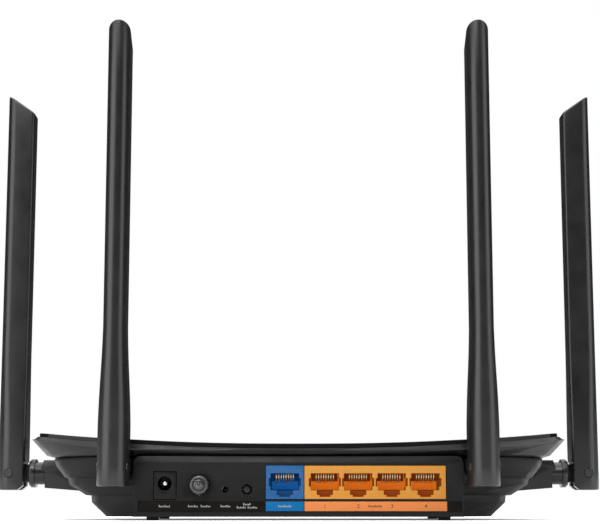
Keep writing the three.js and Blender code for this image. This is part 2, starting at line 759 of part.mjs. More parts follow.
function upperCase() {
  const shell = cut(
    loft(
      [
        caseRing(9, level(SEAM_Z + GAP - 0.2)),
        caseRing(LIP_INSET, lip),
        caseRing(0, crease),
        caseRing(1, facet),
        caseRing(COVER_INSET, underRim(GAP)),
      ],
      caseLid(),
    ),
    loft(
      [
        caseRing(13.5, level(SEAM_Z - OVERSHOOT), WALL),
        caseRing(12, underRim(GAP + DECK_THICK), WALL),
      ],
      caseLid(),
    ),
  );
  const midDeck = underRim(GAP + DECK_THICK / 2);
  const posts = Object.values(CASE_SCREWS).map(([x, y]) => {
    return bar(Z_AXIS, POST_RADIUS, POST_END, midDeck(x), x, y);
  });
  const holes = Object.values(CASE_SCREWS).map(([x, y]) => bar(Z_AXIS, SCREW_RADIUS + GAP, 5, 18, x, y, 12));
  const rooms = [ANTENNAS.rear_left, ANTENNAS.rear_right].map((spot) => {
    return atAntenna(knuckleRoom(), spot);
  });
  const roomDepth = RAIL_HALF_DEPTH + 0.5;
  const guideRoom = block(
    -RAIL_HALF - 4, RAIL_HALF + 4,
    LIGHT_Y - roomDepth, LIGHT_Y + roomDepth,
    RAIL_LOW - 6, COVER_Z + OVERSHOOT,
  );
  return cut(join(shell, posts), holes, rooms, guideRoom);
}
addNode("upper_case", upperCase(), MATTE);

function lightXs() {
  return Array.from({ length: LIGHT_COUNT }, (_, i) => (i - (LIGHT_COUNT - 1) / 2) * LIGHT_PITCH);
}

function topCover() {
  const plateBody = loft(
    [
      caseRing(COVER_INSET, underRim(0)),
      caseRing(COVER_INSET + COVER_CHAMFER, underCover(0)),
    ],
    caseLid(),
  );
  const holes = lightXs().map((x) => {
    return bar(Z_AXIS, LIGHT_RADIUS + GAP, RAIL_HIGH, COVER_Z + OVERSHOOT, x, LIGHT_Y, 12);
  });
  return cut(plateBody, holes);
}
addNode("top_cover", topCover(), GLOSS);

function lightGuide() {
  const rail = block(
    -RAIL_HALF, RAIL_HALF,
    LIGHT_Y - RAIL_HALF_DEPTH, LIGHT_Y + RAIL_HALF_DEPTH,
    RAIL_LOW, RAIL_HIGH,
  );
  const pips = lightXs().map((x) => {
    return bar(Z_AXIS, LIGHT_RADIUS, RAIL_HIGH - 0.2, COVER_Z, x, LIGHT_Y, 12);
  });
  return join(rail, pips);
}
addNode("light_guide", lightGuide(), CLEAR);

// ---------- screws ----------
const SLOT_HALF_LENGTH = 1.5;
const SLOT_HALF_WIDTH = 0.3;
const SLOT_DEPTH = 0.8;

// A screw with a slotted head; head and shaft are [from, to] heights.
function screw(x, y, head, shaft) {
  const slot = head[0] < shaft[0]
    ? [head[0] - OVERSHOOT, head[0] + SLOT_DEPTH]
    : [head[1] - SLOT_DEPTH, head[1] + OVERSHOOT];
  return cut(
    join(
      bar(Z_AXIS, HEAD_RADIUS, ...head, x, y, 16),
      bar(Z_AXIS, SCREW_RADIUS, ...shaft, x, y, 12),
    ),
    block(
      x - SLOT_HALF_LENGTH, x + SLOT_HALF_LENGTH,
      y - SLOT_HALF_WIDTH, y + SLOT_HALF_WIDTH,
      ...slot,
    ),
  );
}
const CASE_SCREW_END = 16;
const BOARD_SCREW_END = 4.2;
for (const [place, [x, y]] of Object.entries(CASE_SCREWS)) {
  const head = [CASE_BOTTOM + GAP, HEAD_TOP];
  addNode(`case_screw_${place}`, screw(x, y, head, [head[1] - 0.5, CASE_SCREW_END]), STEEL);
}
for (const [place, [x, y]] of Object.entries(BOARD_SCREWS)) {
  const head = [BOARD_TOP + GAP, BOARD_TOP + 1.8];
  addNode(`board_screw_${place}`, screw(x, y, head, [BOARD_SCREW_END, head[0] + 0.5]), STEEL);
}

// ---------- main board and what it carries ----------
const boardHoles = Object.values(BOARD_SCREWS).map(([x, y]) => {
  return bar(Z_AXIS, SCREW_RADIUS + GAP, STUD_TOP - OVERSHOOT, BOARD_TOP + OVERSHOOT, x, y, 12);
});
addNode(
  "main_board",
  cut(
    block(-BOARD_HALF, BOARD_HALF, BOARD_REAR, BOARD_FRONT, BOARD_TOP - BOARD_THICK, BOARD_TOP),
    boardHoles,
  ),
  BOARD_GREEN,
);

const ON_BOARD = BOARD_TOP + GAP;

// A pressed can, open underneath.
const CAN = { half: 16, halfDepth: 13, y: -8, height: 3.5, thick: 0.5 };
function shieldCan(x) {
  const { half, halfDepth, y, height, thick } = CAN;
  const shape = (inset, low, high) => {
    const [w, d] = [half - inset, halfDepth - inset];
    return block(x - w, x + w, y - d, y + d, low, high);
  };
  return cut(
    shape(0, ON_BOARD, ON_BOARD + height),
    shape(thick, ON_BOARD - OVERSHOOT, ON_BOARD + height - thick),
  );
}
addNode("shield_can_left", shieldCan(-38), STEEL);
addNode("shield_can_right", shieldCan(36), STEEL);

const CHIP = { half: 9, y: 10, height: 1.2 };
const SINK = { half: 14, base: 1.6, height: 8, fins: 7, pitch: 4, finHalf: 0.6 };
function heatSink() {
  const low = ON_BOARD + CHIP.height + GAP;
  const [y0, y1] = [CHIP.y - SINK.half, CHIP.y + SINK.half];
  const fins = Array.from({ length: SINK.fins }, (_, i) => {
    const x = (i - (SINK.fins - 1) / 2) * SINK.pitch;
    return block(x - SINK.finHalf, x + SINK.finHalf, y0, y1, low, low + SINK.height);
  });
  return join(block(-SINK.half, SINK.half, y0, y1, low, low + SINK.base), fins);
}
addNode("heat_sink", heatSink(), STEEL);
const processor = block(
  -CHIP.half, CHIP.half,
  CHIP.y - CHIP.half, CHIP.y + CHIP.half,
  ON_BOARD, ON_BOARD + CHIP.height,
);
addNode("processor", processor, RUBBER);
addNode("network_transformer", block(8, 56, -44, -34, ON_BOARD, ON_BOARD + 5.2), RUBBER);

// ---------- antenna leads ----------
const LEAD_RADIUS = 0.9;
const LEAD_SIDES = 8;
const LEAD_STEPS = 14;
const LEADS = {
  rear_left: [
    [-58, -30, 10.2], [-60, -34, 12.5], [-68, -38, 18], [-76.5, -38.5, 21], [-76.5, -42.6, 22],
  ],
  rear_right: [
    [58, -26, 10.2], [60, -34, 12.5], [68, -38, 18], [76.5, -38.5, 21], [76.5, -42.6, 22],
  ],
  side_left: [
    [-58, 12, 10.2], [-64, 15, 12.5], [-74, 20, 18], [-82, 22, 21.6], [-89.5, 22, 22],
  ],
  side_right: [
    [58, 12, 10.2], [64, 15, 12.5], [74, 20, 18], [82, 22, 21.6], [89.5, 22, 22],
  ],
};
for (const [place, route] of Object.entries(LEADS)) {
  const round = Array.from({ length: LEAD_SIDES }, (_, i) => {
    const angle = (2 * Math.PI * i) / LEAD_SIDES;
    return new THREE.Vector2(LEAD_RADIUS * Math.cos(angle), LEAD_RADIUS * Math.sin(angle));
  });
  const path = new THREE.CatmullRomCurve3(route.map((point) => new THREE.Vector3(...point)));
  const geometry = new THREE.ExtrudeGeometry(new THREE.Shape(round), {
    extrudePath: path,
    steps: LEAD_STEPS,
  });
  addNode(`antenna_lead_${place}`, solid(geometry), RUBBER);
}

export default router;
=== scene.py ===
"""The looks of the wireless router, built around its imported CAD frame. Metres, +Z up."""
import json
import math

import bmesh
import bpy
from mathutils import Matrix, Vector

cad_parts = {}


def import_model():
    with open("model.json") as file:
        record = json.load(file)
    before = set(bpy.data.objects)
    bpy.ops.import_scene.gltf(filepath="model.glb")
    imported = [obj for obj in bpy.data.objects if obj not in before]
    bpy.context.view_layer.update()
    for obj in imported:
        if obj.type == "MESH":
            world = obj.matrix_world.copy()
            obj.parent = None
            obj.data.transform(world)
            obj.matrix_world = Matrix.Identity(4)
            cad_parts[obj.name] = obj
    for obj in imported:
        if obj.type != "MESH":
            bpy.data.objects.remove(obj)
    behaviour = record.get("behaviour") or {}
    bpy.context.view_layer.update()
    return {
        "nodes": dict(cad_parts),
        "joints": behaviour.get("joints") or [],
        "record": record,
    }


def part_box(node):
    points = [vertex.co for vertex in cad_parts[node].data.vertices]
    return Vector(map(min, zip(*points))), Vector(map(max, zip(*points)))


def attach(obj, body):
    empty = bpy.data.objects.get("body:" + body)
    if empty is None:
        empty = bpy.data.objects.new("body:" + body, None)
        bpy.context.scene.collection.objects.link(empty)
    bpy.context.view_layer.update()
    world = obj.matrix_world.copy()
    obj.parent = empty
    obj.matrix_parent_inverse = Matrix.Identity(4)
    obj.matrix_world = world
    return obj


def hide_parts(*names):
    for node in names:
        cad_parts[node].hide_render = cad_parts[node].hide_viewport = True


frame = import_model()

MM = 0.001
NODES = frame["nodes"]
SLOT_OF = {part["node"]: part["material_slot"] for part in frame["record"]["subparts"]}
BODY_OF = {
    node: body
    for body, members in frame["record"]["behaviour"]["bodies"].items()
    for node in members
}
JOINTS = {joint["name"]: joint for joint in frame["joints"]}
PLACES = ("rear_left", "rear_right", "side_left", "side_right")
CORNERS = ("rear_left", "rear_right", "front_left", "front_right")

PORT_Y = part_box("lan_jack_block")[0].y  # the face of the network sockets
COVER_LOW, COVER_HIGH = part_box("top_cover")


# ---------- materials ----------
def noise(tree, scale, detail=2.0, stretch=(1, 1, 1)):
    """A noise texture on the piece's own coordinates, scale in features per metre."""
    nodes, links = tree.nodes, tree.links
    coords = nodes.new("ShaderNodeTexCoord")
    mapping = nodes.new("ShaderNodeMapping")
    mapping.inputs["Scale"].default_value = stretch
    texture = nodes.new("ShaderNodeTexNoise")
    texture.inputs["Scale"].default_value = scale
    texture.inputs["Detail"].default_value = detail
    links.new(coords.outputs["Object"], mapping.inputs["Vector"])
    links.new(mapping.outputs["Vector"], texture.inputs["Vector"])
    return texture.outputs["Fac"]


def ranged(tree, value, low, high):
    """The middle of a noise, spread from low to high."""
    node = tree.nodes.new("ShaderNodeMapRange")
    node.inputs["From Min"].default_value = 0.3
    node.inputs["From Max"].default_value = 0.7
    node.inputs["To Min"].default_value = low
    node.inputs["To Max"].default_value = high
    tree.links.new(value, node.inputs["Value"])
    return node.outputs["Result"]


def material(name, color, roughness, spread=0.05, mottle=0.08, mottle_scale=60, grain=2600,
             grain_depth=0.02 * MM, stretch=(1, 1, 1), metallic=0.0, specular=0.5, coat=0.0,
             coat_roughness=0.08, transmission=0.0, emission=0.0):
    """A moulded, painted or metal surface: mottled colour, uneven gloss and a fine grain."""
    made = bpy.data.materials.new(name)
    made.use_nodes = True
    tree = made.node_tree
    shader = tree.nodes["Principled BSDF"]
    shader.inputs["Metallic"].default_value = metallic
    shader.inputs["Specular IOR Level"].default_value = specular
    shader.inputs["Coat Weight"].default_value = coat
    shader.inputs["Coat Roughness"].default_value = coat_roughness
    shader.inputs["Transmission Weight"].default_value = transmission
    blend = tree.nodes.new("ShaderNodeMix")
    blend.data_type = "RGBA"
    blend.inputs["A"].default_value = (*[c * (1 - mottle) for c in color], 1)
    blend.inputs["B"].default_value = (*[min(1, c * (1 + mottle)) for c in color], 1)
    tree.links.new(noise(tree, mottle_scale, 3, stretch), blend.inputs["Factor"])
    tree.links.new(blend.outputs["Result"], shader.inputs["Base Color"])
    gloss = ranged(tree, noise(tree, mottle_scale * 4, 2, stretch),
                   max(0.02, roughness - spread), roughness + spread)
    tree.links.new(gloss, shader.inputs["Roughness"])
    bump = tree.nodes.new("ShaderNodeBump")
    bump.inputs["Distance"].default_value = grain_depth
    bump.inputs["Strength"].default_value = 1.0
    tree.links.new(noise(tree, grain, 2, stretch), bump.inputs["Height"])
    tree.links.new(bump.outputs["Normal"], shader.inputs["Normal"])
    if emission:
        shader.inputs["Emission Color"].default_value = (*color, 1)
        shader.inputs["Emission Strength"].default_value = emission
    return made


MATERIALS = {
    "case_plastic": material("case_plastic", (0.006, 0.006, 0.0064), 0.36, grain=3200,
                             specular=0.22),
    "case_plastic_low": material("case_plastic_low", (0.006, 0.006, 0.0064), 0.42, grain=3200,
                                 specular=0.12),
    "cover_gloss": material("cover_gloss", (0.006, 0.006, 0.007), 0.1, spread=0.02, grain=500,
                            grain_depth=0.004 * MM, specular=0.1, coat=0.06, coat_roughness=0.06),
    "antenna_plastic": material("antenna_plastic", (0.005, 0.005, 0.0054), 0.3, grain=3600,
                                spread=0.03, grain_depth=0.006 * MM, mottle_scale=30,
                                specular=0.42),
    "pin_black": material("pin_black", (0.008, 0.008, 0.0085), 0.36),
    "radiator_brass": material("radiator_brass", (0.72, 0.5, 0.2), 0.35, metallic=1.0),
    "lead_black": material("lead_black", (0.02, 0.02, 0.02), 0.5, grain=4000),
    "foot_rubber": material("foot_rubber", (0.016, 0.016, 0.016), 0.8, grain=2400,
                            grain_depth=0.05 * MM),
    "screw_steel": material("screw_steel", (0.52, 0.52, 0.54), 0.34, metallic=1.0, grain=5000),
    "board_green": material("board_green", (0.02, 0.13, 0.05), 0.35, mottle=0.3,
                            mottle_scale=400, coat=0.4),
    "can_steel": material("can_steel", (0.6, 0.61, 0.62), 0.3, metallic=1.0,
                          stretch=(1, 12, 1)),
    "heat_sink_aluminium": material("heat_sink_aluminium", (0.5, 0.51, 0.53), 0.38, metallic=1.0,
                                    stretch=(12, 1, 1)),
    "chip_black": material("chip_black", (0.018, 0.018, 0.02), 0.5, grain=3800),
    "contact_gold": material("contact_gold", (0.55, 0.4, 0.23), 0.42, metallic=0.7),
    "jack_blue": material("jack_blue", (0.008, 0.06, 0.165), 0.42, specular=0.25),
    "jack_yellow": material("jack_yellow", (0.35, 0.15, 0.022), 0.42, specular=0.2),
    "button_plastic": material("button_plastic", (0.01, 0.01, 0.0105), 0.3, specular=0.2),
    "label_black": material("label_black", (0.004, 0.0035, 0.003), 0.5, grain=5200, specular=0.06),
    "label_blue": material("label_blue", (0.0, 0.078, 0.21), 0.5, specular=0.12, grain=5200),
    "label_orange": material("label_orange", (0.41, 0.13, 0.035), 0.5, specular=0.15, grain=5200),
    "light_clear": material("light_clear", (0.72, 0.76, 0.78), 0.25, transmission=0.3),
}
POWER_CAP = material("power_cap", (0.045, 0.045, 0.047), 0.24, metallic=0.6, mottle=0.04,
                     spread=0.02, mottle_scale=30, grain=900, grain_depth=0.0005 * MM)
POWER_MARK = material("power_mark", (0.08, 0.08, 0.08), 0.5)
BUTTON_GLOSS = material("button_gloss", (0.003, 0.003, 0.003), 0.25, specular=0.13)
# The inserts glow: painted light on the sockets' back walls, where light falls into the mouths.
INSERT_BLUE_GLOW = material("insert_blue_glow", (0.008, 0.12, 0.42), 0.5, specular=0.1, emission=0.45)
INSERT_ORANGE_GLOW = material("insert_orange_glow", (0.75, 0.17, 0.01), 0.5, specular=0.1, emission=0.55)
# The combs are darker than the sockets' plastic for painted shade in the mouths, and glow a little:
# painted light.
COMB_BLUE_SHADE_GLOW = material("comb_blue_shade_glow", (0.004, 0.03, 0.095), 0.5, specular=0.05, emission=0.5)
COMB_BROWN_SHADE_GLOW = material("comb_brown_shade_glow", (0.12, 0.022, 0.002), 0.5, specular=0.05, emission=0.6)
MARK_LIGHT = material("mark_light", (0.2, 0.2, 0.195), 0.55)
MARK_DARK = material("mark_dark", (0.05, 0.012, 0.004), 0.55, specular=0.1)
PANEL_SATIN = material("panel_satin", (0.012, 0.012, 0.013), 0.28, spread=0.04, grain=1500,
                       grain_depth=0.03 * MM)
FLOOR_WHITE = material("floor_white", (0.93, 0.93, 0.93), 0.7, spread=0.02, mottle=0.01,
                       mottle_scale=3, grain=300, specular=0.1, emission=0.18)


# ---------- making and placing pieces ----------
SAME_POINT = 0.004 * MM
SAME_FACE = math.radians(0.4)
BEVEL_SEGMENTS = 2
SHORTEST_IN_WIDTHS = 3.0  # an edge shorter than this many bevel widths stays sharp


def new_object(name, bm):
    """A linked object from a bmesh, with its faces pointing out."""
    bmesh.ops.recalc_face_normals(bm, faces=bm.faces)
    mesh = bpy.data.meshes.new(name)
    bm.to_mesh(mesh)
    bm.free()
    made = bpy.data.objects.new(name, mesh)
    bpy.context.scene.collection.objects.link(made)
    return made


def soften(obj, angle=32):
    """Smooth shading, with hard edges where the faces meet sharply."""
    obj.data.shade_smooth()
    obj.data.set_sharp_from_angle(angle=math.radians(angle))


def apply_modifiers(obj):
    """The mesh as its modifiers leave it becomes the object's own."""
    graph = bpy.context.evaluated_depsgraph_get()
    mesh = bpy.data.meshes.new_from_object(obj.evaluated_get(graph))
    obj.modifiers.clear()
    obj.data = mesh


def rounded(obj, width, angle=34):
    """Rounds the edges sharper than the angle that have room for it, and applies that."""
    bm = bmesh.new()
    bm.from_mesh(obj.data)
    weight = bm.edges.layers.float.new("bevel_weight_edge")
    for edge in bm.edges:
        if len(edge.link_faces) != 2 or edge.calc_length() < width * SHORTEST_IN_WIDTHS:
            continue
        if edge.calc_face_angle(0) > math.radians(angle):
            edge[weight] = 1.0
    bm.to_mesh(obj.data)
    bm.free()
    bevel = obj.modifiers.new("round", "BEVEL")
    bevel.width = width
    bevel.segments = BEVEL_SEGMENTS
    bevel.limit_method = "WEIGHT"
    bevel.use_clamp_overlap = True
    bevel.harden_normals = False
    apply_modifiers(obj)


def dress(obj, look):
    """Gives a piece its look, if it has no material yet."""
    if not any(obj.data.materials):
        obj.data.materials.clear()
        obj.data.materials.append(look)
    return obj


def refined(node, width, look=None, angle=34):
    """A CAD node's shape, its triangles joined into whole faces, its edges rounded; width in mm."""
    bm = bmesh.new()
    bm.from_mesh(NODES[node].data)
    bmesh.ops.remove_doubles(bm, verts=bm.verts, dist=SAME_POINT)
    bmesh.ops.dissolve_limit(bm, angle_limit=SAME_FACE, verts=bm.verts, edges=bm.edges)
    obj = new_object(node + "_fine", bm)
    rounded(obj, width * MM, angle)
    soften(obj)
    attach(obj, BODY_OF[node])
    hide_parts(node)
    return dress(obj, look or MATERIALS[SLOT_OF[node]])


def stand_for(obj, node, look=None):
    """A piece made here takes a CAD node's place."""
    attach(obj, BODY_OF[node])
    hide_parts(node)
    return dress(obj, look or MATERIALS[SLOT_OF[node]])


def ring_skin(bm, rings):
    """Quads between rings of equally many points, and a face over each end."""
    loops = [[bm.verts.new(point) for point in ring] for ring in rings]
    count = len(loops[0])
    for low, high in zip(loops, loops[1:]):
        for i in range(count):
            j = (i + 1) % count
            bm.faces.new((low[i], low[j], high[j], high[i]))
    bm.faces.new(list(reversed(loops[0])))
    bm.faces.new(loops[-1])


def circle(radius, count, centre):
    """Points round a circle, from the first axis towards the second."""
    angles = [2 * math.pi * i / count for i in range(count)]
    return [(centre[0] + radius * math.cos(angle), centre[1] + radius * math.sin(angle))
            for angle in angles]


def turned(name, profile, x, z, sides=64):
    """A piece turned about an axis along Y through (x, z); profile is (radius, y) points in mm."""
    bm = bmesh.new()
    rings = []
    for radius, y in profile:
        rings.append([(px * MM, y * MM, pz * MM) for px, pz in circle(radius, sides, (x, z))])
    ring_skin(bm, rings)
    return new_object(name, bm)


def cutter_box(low, high):
    """A block between two corners, to carve with."""
    bm = bmesh.new()
    bmesh.ops.create_cube(bm, size=1.0)
    for vert in bm.verts:
        vert.co = Vector([low[i] + (high[i] - low[i]) * (vert.co[i] + 0.5) for i in range(3)])
    return new_object("cutter", bm)


def cutter_rod(axis, radius, start, end, centre=(0, 0), sides=64):
    """A rod along x or z, to carve with; centre is its place on the other two axes."""
    bm = bmesh.new()
    rings = []
    for along in (start, end):
        ring = []
        for a, b in circle(radius, sides, centre):
            ring.append((along, a, b) if axis == "x" else (a, b, along))
        rings.append(ring)
    ring_skin(bm, rings)
    return new_object("cutter", bm)


def carve(obj, cutters):
    """Takes the cutters out of a piece, and removes them."""
    for cutter in cutters:
        cut = obj.modifiers.new("cut", "BOOLEAN")
        cut.object = cutter
        cut.operation = "DIFFERENCE"
        cut.solver = "MANIFOLD"
    apply_modifiers(obj)
    for cutter in cutters:
        bpy.data.objects.remove(cutter)


# ---------- antennas ----------
# In an antenna's own frame the origin is on its hinge pin, and -Y points away from the router.
# Everything is in mm: outer and inner are how far the sleeve reaches on -Y and +Y, wide and slim
# are half its width at the foot and at the tip, and slope is how steeply the tip is cut off.
ANTENNA = {
    "outer": 6.0, "inner": 7.8, "foot": 8.0, "tip": 190.0, "slope": 0.71, "slim": 4.7,
    "wide": 6.4, "taper_from": 17.0, "taper_to": 58.0, "corner": 1.6, "edge": 1.1,
}
FOOT_EDGE = 0.6
ROUND_STEPS = 28
TAPER_LEVELS = (0, 8, 17, 22, 28, 34, 40, 46, 52, 58, 62)


def antenna_half(z):
    """Half the antenna's width at a height, easing in and out of its taper."""
    a = ANTENNA
    part = min(1.0, max(0.0, (z - a["taper_from"]) / (a["taper_to"] - a["taper_from"])))
    eased = part - 0.06 * math.sin(2 * math.pi * part)
    return a["wide"] + (a["slim"] - a["wide"]) * eased


def antenna_ring(half, inset, height):
    """Half round away from the router, flat with small round corners towards it.

    height gives a point's Z from its Y, in mm.
    """
    a = ANTENNA
    half -= inset
    outer, inner = a["outer"] - inset, a["inner"] - inset
    corner = max(0.4, a["corner"] - inset)
    points = []
    for i in range(ROUND_STEPS + 1):
        angle = math.pi + math.pi * i / ROUND_STEPS
        points.append((half * math.cos(angle), half - outer + half * math.sin(angle)))
    for side in (1, -1):
        for i in range(7):
            angle = math.pi / 12 * i if side > 0 else math.pi / 2 + math.pi / 12 * i
            points.append((side * (half - corner) + corner * math.cos(angle),
                           inner - corner + corner * math.sin(angle)))
    return [(x * MM, y * MM, height(y) * MM) for x, y in points]


def level(height):
    """A ring that lies flat."""
    return lambda y: height


def slanted(drop, share=1.0):
    """A ring that lies along the cut tip and lower by drop, or a share of the way up to there."""
    a = ANTENNA
    start = TAPER_LEVELS[-1]
    return lambda y: start + share * (a["tip"] - drop - a["slope"] * (y + a["outer"]) - start)


def antenna_sleeve(place):
    """One sleeve, forked round its knuckle at the foot and slanted at the tip."""
    a = ANTENNA
    edge = a["edge"]
    rings = []
    for i in range(5):
        angle = math.pi / 8 * i
        inset = FOOT_EDGE * (1 - math.sin(angle))
        rise = FOOT_EDGE * (1 - math.cos(angle))
        rings.append(antenna_ring(a["wide"], inset, level(rise - a["foot"])))
    for z in TAPER_LEVELS:
        rings.append(antenna_ring(antenna_half(z), 0, level(z)))
    for share in (0.2, 0.4, 0.6, 0.8):
        rings.append(antenna_ring(a["slim"], 0, slanted(edge, share)))
    for i in range(6):
        angle = math.pi / 10 * i
        inset = edge * (1 - math.cos(angle))
        drop = edge * (1 - math.sin(angle))
        rings.append(antenna_ring(a["slim"], inset, slanted(drop)))
    bm = bmesh.new()
    ring_skin(bm, rings)
    sleeve = new_object(f"antenna_{place}", bm)
    slot = 2.8 * MM  # half the width of the fork's gap
    reach = 4.6 * MM  # the room round the knuckle's tongue
    # what is left of this block outside a rod rounds the foot's inner corner off
    corner = cutter_box((-8 * MM, 0, -12 * MM), (8 * MM, 12 * MM, 0))
    carve(corner, [cutter_rod("x", 9.2 * MM, -9 * MM, 9 * MM, sides=96)])
    carve(sleeve, [
        corner,
        # a step in the foot's inner face
        cutter_box((-8 * MM, 7.0 * MM, -9 * MM), (8 * MM, 9 * MM, 5.4 * MM)),
        # the fork's gap, where the tongue lies from upright to folded out
        cutter_box((-slot, -reach, -10 * MM), (slot, 10 * MM, 0)),
        cutter_box((-slot, 0, -1 * MM), (slot, 10.5 * MM, reach)),
        cutter_rod("x", reach, -slot, slot),
        # the room for the radiator
        cutter_box((-3.1 * MM, -3.4 * MM, 4 * MM), (3.1 * MM, 5.8 * MM, 176 * MM)),
        # the hinge pin's hole
        cutter_rod("x", 2.3 * MM, -8 * MM, 8 * MM),
    ])
    soften(sleeve, 28)
    fold = JOINTS[f"antenna_{place}_fold"]
    turn = math.atan2(fold["axis"][1], fold["axis"][0])
    place_at = Matrix.Translation(fold["pos_m"]) @ Matrix.Rotation(turn, 4, "Z")
    sleeve.data.transform(place_at)
    return stand_for(sleeve, f"antenna_sleeve_{place}")


for antenna_place in PLACES:
    antenna_sleeve(antenna_place)
    refined(f"swivel_knuckle_{antenna_place}", 0.25)
    refined(f"swivel_socket_{antenna_place}", 0.4)
    refined(f"hinge_pin_{antenna_place}", 0.3)

# ---------- case ----------
refined("bottom_case", 0.22, look=MATERIALS["case_plastic_low"])
refined("upper_case", 0.22)


def cover_outline(inset):
    """The cover's outline, drawn in from its rim, with its corners rounded off."""
    inset *= MM
    half = COVER_HIGH.x - inset
    rear = COVER_LOW.y + 0.35 * inset
    front = COVER_HIGH.y - 0.6 * inset
    knee = 68.2 * MM - 0.4 * inset
    corners = [
        (knee, rear), (half - 4 * MM, rear + 17 * MM), (half, rear + 23 * MM),
        (half, front - 20 * MM), (half - 4 * MM, front - 12 * MM), (half - 20 * MM, front),
    ]
    loop = corners + [(-x, y) for x, y in reversed(corners)]
    for _ in range(3):  # each round cuts every corner a little rounder
        cut = []
        for i, here in enumerate(loop):
            there = loop[(i + 1) % len(loop)]
            length = math.dist(here, there)
            part = min(0.25, 2.5 * MM / length)
            for share in (part, 1 - part):
                cut.append(tuple(here[k] + (there[k] - here[k]) * share for k in (0, 1)))
        loop = cut
    return loop


def top_cover():
    """A polished plate, hollowed along its length, with a satin field inside a fine groove."""
    half_width = 111 * MM
    rise = 5.4 * MM  # how much higher the plate is at half_width than in the middle
    curve = 2.4
    rim, thins = 1.9 * MM, 0.4 * MM  # its thickness, and how much less that is at half_width
    middle_z = COVER_HIGH.z - rise * (COVER_HIGH.x / half_width) ** curve
    levels = [(0.1, -rim / MM), (0.12, -0.4), (0.2, -0.14), (0.42, -0.03), (0.8, 0.0),
              (9.0, 0.0), (9.15, -0.3), (9.65, -0.3), (9.8, 0.0)]
    bm = bmesh.new()
    rings = [[(x, y, z * MM) for x, y in cover_outline(inset)] for inset, z in levels]
    ring_skin(bm, rings)
    for x in range(-112, 113, 4):  # so that the flat faces can bend
        geometry = bm.verts[:] + bm.edges[:] + bm.faces[:]
        bmesh.ops.bisect_plane(bm, geom=geometry, plane_co=(x * MM, 0, 0), plane_no=(1, 0, 0))
    inner = COVER_HIGH.x - 9.7 * MM
    smallest = 4e-4  # m2, larger than any face of the rim
    for face in bm.faces:
        centre = face.calc_center_median()
        flat = face.normal.z > 0.99 and centre.z > -0.1 * MM
        field = flat and abs(centre.x) < inner and face.calc_area() > smallest
        face.material_index = int(field)
    for vert in bm.verts:
        lift = rise * (abs(vert.co.x) / half_width) ** curve
        low = vert.co.z < -1.5 * MM
        vert.co.z += middle_z + lift + (thins * lift / rise if low else 0)
    cover = new_object("cover_plate", bm)
    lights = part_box("light_guide")
    middle = (lights[0].y + lights[1].y) / 2
    carve(cover, [
        cutter_rod("z", 1.4 * MM, 25 * MM, 40 * MM, ((i - 2.5) * 9 * MM, middle), 32)
        for i in range(6)
    ])
    soften(cover, 30)
    cover.data.materials.clear()
    cover.data.materials.append(MATERIALS["cover_gloss"])
    cover.data.materials.append(PANEL_SATIN)
    return stand_for(cover, "top_cover")


top_cover()
refined("light_guide", 0.2)
for corner_name in CORNERS:
    refined(f"foot_{corner_name}", 0.3)
    refined(f"case_screw_{corner_name}", 0.15)

# ---------- sockets ----------
refined("internet_jack", 0.16, angle=40)
refined("lan_jack_block", 0.16, angle=40)
refined("dc_jack", 0.16, look=MATERIALS["case_plastic_low"])


def wire(bm, x, route, half, thick):
    """A flat spring wire at x through (y, z) points in mm; half and thick are half its sizes."""
    rings = []
    for i, (y, z) in enumerate(route):
        before = route[max(0, i - 1)]
        after = route[min(len(route) - 1, i + 1)]
        along = Vector((0, after[0] - before[0], after[1] - before[1])).normalized()
        across = Vector((0, -along.z, along.y)) * thick
        middle = Vector((x, y, z))
        side = Vector((half, 0, 0))
        rings.append([middle - side - across, middle + side - across,
                      middle + side + across, middle - side + across])
    ring_skin(bm, [[point * MM for point in ring] for ring in rings])


def brick(bm, low, high):
    """A block between two corners, added to a mesh."""
    matrix = Matrix.Translation((low + high) / 2) @ Matrix.Diagonal((*(high - low), 1))
    bmesh.ops.create_cube(bm, size=1.0, matrix=matrix)


def contacts(node, mouths, insert_look, comb_look):
    """Eight spring wires in each mouth, the comb they pass through and the insert behind them."""
    low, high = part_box(node)
    front = low.y / MM
    back = high.y / MM
    pitch = 1.02
    wires = bmesh.new()
    comb = bmesh.new()
    face = high.y - 2 * MM
    for mouth in mouths:
        for i in range(8):
            x = mouth + (i - 3.5) * pitch
            route = [(front + 0.7, 19.35), (front + 0.25, 19.2), (front + 0.15, 18.9),
                     (front + 0.25, 18.0), (front + 0.8, 17.3), (front + 4.5, 16.4),
                     (back - 1.6, 15.7)]
            wire(wires, x, route, 0.15, 0.1)
        # the comb's teeth and back plate take the comb look: darker than the socket for painted
        # shade, glowing for painted light
        for i in range(9):
            x = mouth + (i - 4) * pitch
            brick(comb, Vector(((x - 0.2) * MM, face - 5 * MM, 16.6 * MM)),
                  Vector(((x + 0.2) * MM, face - 0.05 * MM, 19.55 * MM)))
        brick(comb, Vector(((mouth - 5.6) * MM, face - 0.6 * MM, 16.5 * MM)),
              Vector(((mouth + 5.6) * MM, face - 0.02 * MM, 19.6 * MM)))
        # dark blocks in the slots at the sides and over the latch's two steps: painted shade in the
        # socket's hollows
        for x0, x1, z0, z1 in ((-6.65, -5.95, 14.15, 17.55), (5.95, 6.65, 14.15, 17.55),
                               (-3.35, 3.35, 10.65, 12.45), (-2.25, 2.25, 9.85, 10.65)):
            brick(comb, Vector(((mouth + x0) * MM, PORT_Y + 2.6 * MM, z0 * MM)),
                  Vector(((mouth + x1) * MM, PORT_Y + 3 * MM, z1 * MM)))
    wires = new_object(node + "_wires", wires)
    soften(wires, 40)
    stand_for(wires, node, MATERIALS["contact_gold"])
    stand_for(new_object(node + "_comb", comb), node, comb_look)
    # the insert behind the wires, in a glowing look: painted light on the socket's back wall
    insert = bmesh.new()
    brick(insert, Vector((low.x, face, low.z)), high)
    insert = new_object(node + "_insert", insert)
    rounded(insert, 0.15 * MM)
    stand_for(insert, node, insert_look)


